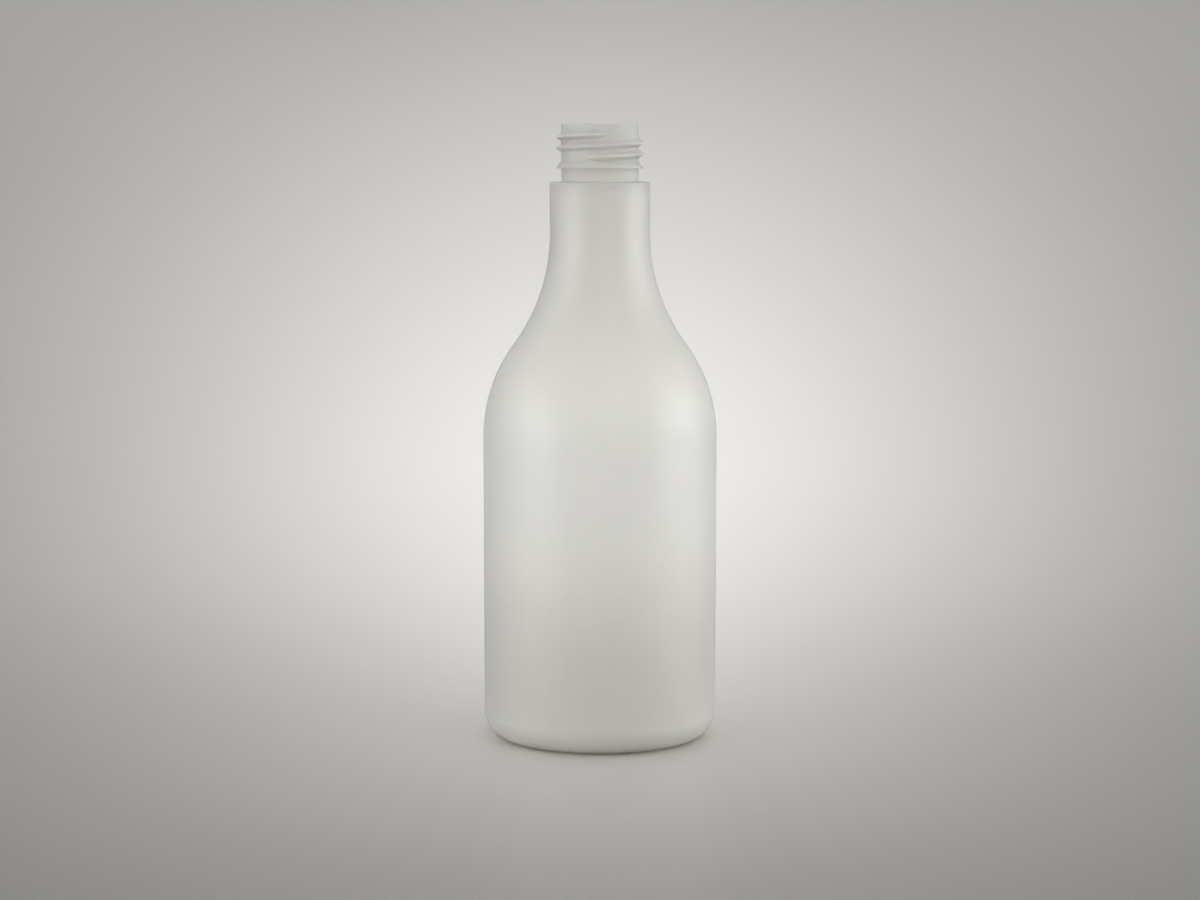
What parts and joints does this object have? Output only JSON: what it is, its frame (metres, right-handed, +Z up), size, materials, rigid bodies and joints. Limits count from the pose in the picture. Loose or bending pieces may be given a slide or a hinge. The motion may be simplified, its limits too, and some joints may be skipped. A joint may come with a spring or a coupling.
{
  "type": "hdpe plastic bottle",
  "caption": "Open round bottle of natural HDPE: straight body, sloping shoulder, long neck and a screw finish with a locking bead.",
  "frame": {"origin": "centre of the standing ring, on the surface that the bottle stands on", "axes": "+Z up the bottle's axis, out of the mouth; -Y towards the picture's camera; +X to its right"},
  "size_m": [0.073, 0.073, 0.192],
  "materials": {
    "natural_hdpe": "milky, frosted, translucent natural polyethylene"
  },
  "bodies": {
    "root": {"bottle": "natural_hdpe"}
  },
  "joints": []
}
